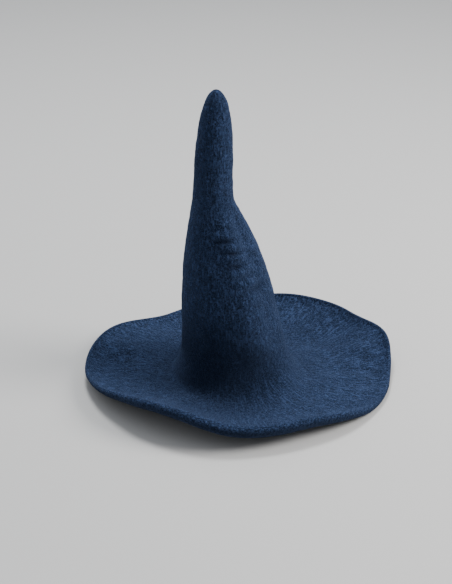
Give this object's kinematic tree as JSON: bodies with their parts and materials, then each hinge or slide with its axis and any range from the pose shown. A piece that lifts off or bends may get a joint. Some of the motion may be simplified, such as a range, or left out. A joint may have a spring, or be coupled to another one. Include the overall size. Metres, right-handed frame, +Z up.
{
  "type": "witch hat",
  "caption": "Pointed hat of thick felt with a creased crown that leans, a thumb-shaped tip, a wavy dished brim and a ribbon sweatband inside.",
  "frame": {"origin": "on the ground, under the middle of the brim's bounding box", "axes": "+Z up from the brim to the tip, -Y the hat's front, +X the wearer's left"},
  "size_m": [0.4772, 0.4744, 0.455],
  "materials": {
    "crown_tip_felt": "matt wool felt",
    "crown_upper_felt": "matt wool felt",
    "crown_lower_felt": "matt wool felt",
    "brim_centre_felt": "matt wool felt",
    "brim_front_felt": "matt wool felt",
    "brim_back_felt": "matt wool felt",
    "sweatband_ribbon": "ribbed grosgrain",
    "stitching_thread": "satin thread",
    "bow_ribbon": "ribbed grosgrain",
    "wrap_ribbon": "ribbed grosgrain"
  },
  "bodies": {
    "hat_base": {"crown_lower": "crown_lower_felt", "brim_centre": "brim_centre_felt", "sweatband": "sweatband_ribbon", "sweatband_stitching": "stitching_thread", "sweatband_bow": "bow_ribbon", "bow_wrap": "wrap_ribbon"},
    "upper_crown": {"crown_upper": "crown_upper_felt"},
    "tip": {"crown_tip": "crown_tip_felt"},
    "front_brim": {"brim_front": "brim_front_felt"},
    "back_brim": {"brim_back": "brim_back_felt"}
  },
  "joints": [
    {"name": "crown_bend", "type": "hinge", "parent": "hat_base", "child": "upper_crown", "pos_m": [-0.01892, 0.00428, 0.15], "axis": [0, 1, 0], "range_deg": [-20, 20]},
    {"name": "tip_bend", "type": "hinge", "parent": "upper_crown", "child": "tip", "pos_m": [-0.03913, 0.00428, 0.29], "axis": [0, 1, 0], "range_deg": [-15, 50]},
    {"name": "front_brim_bend", "type": "hinge", "parent": "hat_base", "child": "front_brim", "pos_m": [-0.00214, -0.14072, 0.0025], "axis": [-1, 0, 0], "range_deg": [-10, 45]},
    {"name": "back_brim_bend", "type": "hinge", "parent": "hat_base", "child": "back_brim", "pos_m": [-0.00214, 0.14928, 0.0025], "axis": [1, 0, 0], "range_deg": [-5, 45]}
  ]
}
